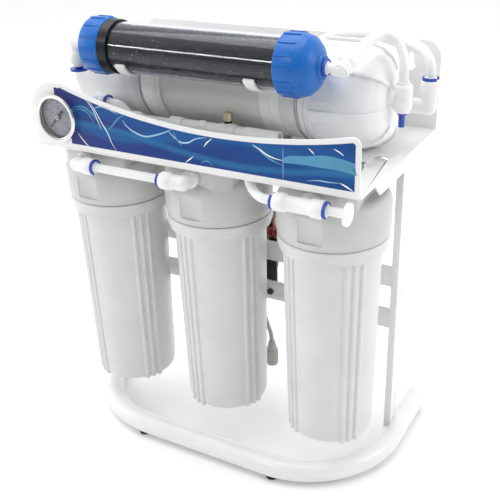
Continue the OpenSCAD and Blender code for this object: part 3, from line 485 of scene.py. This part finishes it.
LEAD = [(-10, 58, 171), (-9, 58, 160), (-5, 56, 140), (1, 53, 121), (8, 51, 103),
        (13, 50, 90), (14, 50, 78)]


def make_lead():
    path = spline(metres(LEAD), 6)
    lead = swept("lead", path, LEAD_R, 16)
    dress(lead, "lead_grey")
    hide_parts("pump_lead")


def make_hoses():
    for name, route in HOSES.items():
        hose = swept(name + "_hose", spline(metres(route), 8), HOSE_R, 24)
        dress(hose, "tube_plastic")
        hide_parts(name)


# ---------------------------------------------------------------- printed waves of the nameplate

STROKES = {     # widest half width in mm, (x, z) places in mm along each stroke
    "ribbon_white": [
        (0.55, [(-115, 435), (-106, 425), (-98, 411), (-91, 400), (-87, 390), (-82, 382)]),
        (0.45, [(-117, 434), (-109, 426), (-104, 416), (-99, 403)]),
        (0.6, [(-132, 395), (-124, 386), (-116, 379)]),
        (0.6, [(38, 412), (32, 407), (28, 402)]),
        (0.6, [(15, 390), (10, 386), (5, 382)]),
        (0.7, [(83, 412), (90, 409), (97, 405), (106, 402), (115, 401)]),
        (0.6, [(142, 417), (148, 412)]),
        (0.6, [(167, 420), (172, 418), (177, 415)]),
        (0.8, [(174, 388), (179, 386), (187, 382)])],
    "ribbon_teal": [
        (1.0, [(-134, 423), (-123, 425), (-115, 423), (-107, 417), (-100, 407)]),
        (0.8, [(-132, 421), (-123, 422), (-115, 419), (-107, 409)]),
        (0.8, [(-66, 423), (-75, 418), (-83, 410), (-91, 402)]),
        (0.8, [(-8, 413), (-4, 406), (2, 399)]),
        (0.9, [(86, 411), (94, 405), (103, 400), (115, 396)]),
        (0.5, [(23, 384), (28, 387), (33, 387), (38, 383)])],
    "ribbon_pale": [
        (0.7, [(-106, 425), (-97, 428), (-86, 426), (-75, 422)]),
        (0.9, [(-70, 417), (-65, 411), (-56, 406), (-43, 403), (-30, 406), (-17, 411),
               (-9, 415)]),
        (0.8, [(-14, 414), (-8, 408), (1, 403), (10, 404), (19, 409), (31, 412)]),
        (0.6, [(141, 385), (152, 387), (162, 387), (174, 388)]),
        (0.3, [(115.5, 415), (115.5, 398), (115.5, 382)])],
}
BAND = (        # upper and lower edge of the filled band
        [(116, 404), (124, 407), (140, 409), (155, 412), (171, 412), (188, 409)],
        [(116, 399), (135, 400), (156, 400), (171, 400), (189, 398), (189, 398)])
PRINT_LIFT = 0.05           # mm, the band off the label; the strokes lie above it in layers
STROKE_LIFT = 0.06
LAYER_LIFT = 0.03
TIP = 0.25                  # a stroke's width at its ends, as a share of its widest


def on_label(points, lift):
    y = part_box("nameplate_label")[0].y - lift * MM
    return [Vector((x * MM, y, z * MM)) for x, z in points]


def printed(name, verts, faces, look):
    obj = add_mesh(name, verts, faces, smooth=False)
    dress(obj, look)


def make_ribbons():
    """Thin printed strokes on the label, tapering to both ends, and one filled teal band."""
    for layer, (slot, strokes) in enumerate(STROKES.items()):
        verts, faces = [], []
        for width, points in strokes:
            lift = STROKE_LIFT + LAYER_LIFT * (len(STROKES) - layer)
            path = spline(on_label(points, lift), 8)
            last = len(path) - 1
            base = len(verts)
            for i, point in enumerate(path):
                along = (path[min(i + 1, last)] - path[max(i - 1, 0)]).normalized()
                across = Vector((-along.z, 0, along.x))
                half = width * MM * (TIP + (1 - TIP) * math.sin(math.pi * i / last))
                verts += [point - across * half, point + across * half]
            faces += [(base + 2 * i, base + 2 * i + 2, base + 2 * i + 3, base + 2 * i + 1)
                      for i in range(last)]
        printed(slot, verts, faces, slot)
    top, low = (spline(on_label(side, PRINT_LIFT), 6) for side in BAND)
    verts = [v for pair in zip(top, low) for v in pair]
    faces = [(2 * i + 1, 2 * i + 3, 2 * i + 2, 2 * i) for i in range(len(top) - 1)]
    printed("ribbon_band", verts, faces, "ribbon_teal")


# ---------------------------------------------------------------- granules in the clear shell

GRAINS = 7000
GRAIN_SEED = 7
GRAIN_MM = (0.45, 0.85)         # half the length of a grain
GRAIN_DEPTH_MM = (0.05, 0.7)    # how far a grain lies under the bed's outside
CORE_INSET_MM = 1.6
CORE_SIDES = 40
GRAIN_POINTS = ((1, 0, 0), (-1, 0, 0), (0, 0.8, 0), (0, -0.8, 0), (0, 0, 0.7), (0, 0, -0.7))
GRAIN_FACES = ((0, 2, 4), (2, 1, 4), (1, 3, 4), (3, 0, 4), (2, 0, 5), (1, 2, 5), (3, 1, 5),
               (0, 3, 5))


def make_granules():
    """A plain core under seeded eight-sided grains, inside the room of inline_media."""
    low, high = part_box("inline_media")
    middle = (low + high) / 2
    radius = (high.z - low.z) / 2
    dice = random.Random(GRAIN_SEED)
    verts, faces = [], []
    sides = CORE_SIDES
    core = radius - CORE_INSET_MM * MM
    for x in (low.x, high.x):
        for j in range(sides):
            a = 2 * math.pi * j / sides
            verts.append((x, middle.y + core * math.cos(a), middle.z + core * math.sin(a)))
    for j in range(sides):
        k = (j + 1) % sides
        faces.append((j, sides + j, sides + k, k))
    faces += [tuple(range(sides)), tuple(range(2 * sides - 1, sides - 1, -1))]
    for _ in range(GRAINS):
        a = dice.uniform(0, 2 * math.pi)
        size = dice.uniform(*GRAIN_MM) * MM
        out = radius - size - dice.uniform(*GRAIN_DEPTH_MM) * MM
        centre = Vector((dice.uniform(low.x + size, high.x - size), middle.y + out * math.cos(a),
                         middle.z + out * math.sin(a)))
        angle = dice.uniform(0, 6.28)
        axis = Vector((dice.uniform(-1, 1), dice.uniform(-1, 1), 0.3)).normalized()
        turn = Matrix.Rotation(angle, 3, axis)
        base = len(verts)
        for v in GRAIN_POINTS:
            verts.append(centre + turn @ (Vector(v) * size * dice.uniform(0.8, 1.1)))
        faces += [tuple(base + i for i in face) for face in GRAIN_FACES]
    bed = add_mesh("granule_bed", verts, faces, smooth=False)
    dress(bed, "black_granules")
    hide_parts("inline_media")


# ---------------------------------------------------------------- gauge dial marks

DIAL_START = 225                # degrees; the scale runs 270 degrees clockwise from there
DIAL_SWEEP = 270
TICKS = 40
TICK_OUT = 19.5                 # radii on the dial in mm
LONG_TICK, FIFTH_TICK, SHORT_TICK = 14.5, 16.3, 17.3
LONG_TICK_HALF, TICK_HALF = 0.5, 0.22
RINGS = ((19.5, 19.9), (12.0, 12.25), (21.3, 22.9))
RING_STEPS = 80
OPEN_AFTER = 60                 # the two inner rings are open below, like the scale
FULL_RING_FROM = 21
HUB = (1.1, 2.4)
HUB_STEPS = 24
NUMBERS = ("0", "4", "8", "12", "16")
NUMBER_SIZE = 4.2
NUMBER_RADIUS = 9.2
DIAL_LIFT = 0.1
HUB_LIFT = 0.05


def outward(angle):
    return Vector((math.cos(angle), 0, math.sin(angle)))


def dial_piece(obj, look):
    dress(obj, look)


def make_dial_marks(centre):
    verts, faces = [], []
    for k in range(TICKS + 1):
        a = math.radians(DIAL_START - DIAL_SWEEP * k / TICKS)
        if k % 10 == 0:
            start, half = LONG_TICK, LONG_TICK_HALF
        else:
            start, half = (SHORT_TICK if k % 5 else FIFTH_TICK), TICK_HALF
        out = outward(a)
        side = Vector((-math.sin(a), 0, math.cos(a))) * half * MM
        base = len(verts)
        verts += [centre + out * start * MM - side, centre + out * TICK_OUT * MM - side,
                  centre + out * TICK_OUT * MM + side, centre + out * start * MM + side]
        faces.append((base, base + 1, base + 2, base + 3))
    for k in range(RING_STEPS):
        a, b = (math.radians(DIAL_START - 360 * t / RING_STEPS) for t in (k, k + 1))
        for inner, outer in RINGS:
            if k > OPEN_AFTER and outer < FULL_RING_FROM:
                continue
            base = len(verts)
            for r, t in ((inner, a), (outer, a), (outer, b), (inner, b)):
                verts.append(centre + outward(t) * r * MM)
            faces.append((base, base + 1, base + 2, base + 3))
    dial_piece(add_mesh("dial_marks", verts, faces, smooth=False), "needle_black")


def make_needle_hub(centre):
    hub = Vector((centre.x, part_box("gauge_needle")[0].y - HUB_LIFT * MM, centre.z))
    n = HUB_STEPS
    verts = [hub + outward(2 * math.pi * k / n) * r * MM for r in HUB for k in range(n)]
    faces = [(k, (k + 1) % n, n + (k + 1) % n, n + k) for k in range(n)]
    ring = add_mesh("needle_hub", verts, faces, body="gauge_needle", smooth=False)
    dial_piece(ring, "ribbon_white")


def make_dial_numbers(centre):
    for k, number in enumerate(NUMBERS):
        a = math.radians(DIAL_START - DIAL_SWEEP * k / (len(NUMBERS) - 1))
        text = bpy.data.curves.new("dial_number", "FONT")
        text.body = number
        text.size = NUMBER_SIZE * MM
        text.align_x = "CENTER"
        text.align_y = "CENTER"
        drawn = bpy.data.objects.new("number_source", text)
        bpy.context.scene.collection.objects.link(drawn)
        flat = drawn.evaluated_get(bpy.context.evaluated_depsgraph_get())
        mesh = bpy.data.meshes.new_from_object(flat)
        bpy.data.objects.remove(drawn)
        mesh.transform(Matrix.Translation(centre + outward(a) * NUMBER_RADIUS * MM)
                       @ Matrix.Rotation(math.pi / 2, 4, "X"))
        piece = bpy.data.objects.new(f"dial_number_{k}", mesh)
        bpy.context.scene.collection.objects.link(piece)
        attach(piece, "frame")
        dial_piece(piece, "needle_black")


def make_dial():
    low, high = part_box("gauge_dial")
    centre = Vector(((low.x + high.x) / 2, low.y - DIAL_LIFT * MM, (low.z + high.z) / 2))
    make_dial_marks(centre)
    make_needle_hub(centre)
    make_dial_numbers(centre)


# ---------------------------------------------------------------- stage

DIM_SIDE = (0.36, -0.86, -0.02)     # the camera's side of the tent
TENT_BRIGHT = 1.12
TENT_DIM = 0.32
FLOOR_HALF = 6.0
LAMPS = (       # name, place, aim, side lengths in m, power in W
    ("top", (-0.2, 0.1, 1.9), (0, 0, 0.2), (1.5, 1.5), 16.0),
    ("left", (-1.7, -0.6, 0.9), (0, 0, 0.25), (0.9, 0.9), 6.0),
    ("right", (1.9, 0.3, 1.1), (0, 0, 0.25), (0.9, 0.9), 7.0),
    ("front_strip", (-0.5, -1.7, 1.5), (0, 0, 0.45), (0.22, 0.22), 3.5))
SHELL_LAMP = ("shell_line", (-1.0, -1.59, 0.93), (0, -0.055, 0.473), (0.8, 0.16), 9.0)


def studio_world(scene):
    """A white tent: bright overhead and at the sides, dimmer on the camera's side."""
    world = bpy.data.worlds.new("studio")
    world.use_nodes = True
    tree = world.node_tree
    coords = tree.nodes.new("ShaderNodeTexCoord").outputs["Generated"]
    facing = tree.nodes.new("ShaderNodeVectorMath")
    facing.operation = "DOT_PRODUCT"
    facing.inputs[1].default_value = DIM_SIDE
    tree.links.new(coords, facing.inputs[0])
    glow = smooth_step(tree, facing.outputs["Value"], 0.05, 0.85, TENT_BRIGHT, TENT_DIM)
    tree.links.new(glow, tree.nodes["Background"].inputs["Strength"])
    tree.nodes["Background"].inputs["Color"].default_value = (1.0, 1.0, 1.0, 1.0)
    scene.world = world


def make_floor(scene):
    s = FLOOR_HALF
    mesh = bpy.data.meshes.new("floor")
    mesh.from_pydata([(-s, -s, 0), (s, -s, 0), (s, s, 0), (-s, s, 0)], [], [(0, 1, 2, 3)])
    floor = bpy.data.objects.new("floor", mesh)
    scene.collection.objects.link(floor)
    mesh.materials.append(surface("floor", (0.97, 0.97, 0.97), 0.6, 60.0, 0.00002, 0.005))


def make_lamp(scene, name, place, aim, size, power):
    data = bpy.data.lights.new(name, "AREA")
    data.shape = "RECTANGLE"
    data.size, data.size_y = size
    data.energy = power
    light = bpy.data.objects.new(name, data)
    light.location = place
    light.rotation_euler = (Vector(aim) - Vector(place)).to_track_quat("-Z", "Y").to_euler()
    scene.collection.objects.link(light)
    return light


def make_stage():
    scene = bpy.context.scene
    scene.view_settings.view_transform = "Standard"
    scene.view_settings.look = "None"
    studio_world(scene)
    make_floor(scene)
    for lamp in LAMPS:
        make_lamp(scene, *lamp)
    shiny = bpy.data.collections.new("shiny")       # only the clear shell sees this lamp's line
    shiny.objects.link(nodes["inline_shell"])
    make_lamp(scene, *SHELL_LAMP).light_linking.receiver_collection = shiny


make_camera()
make_lead()
finish_nodes()
make_hoses()
make_granules()
make_dial()
make_ribbons()
make_stage()
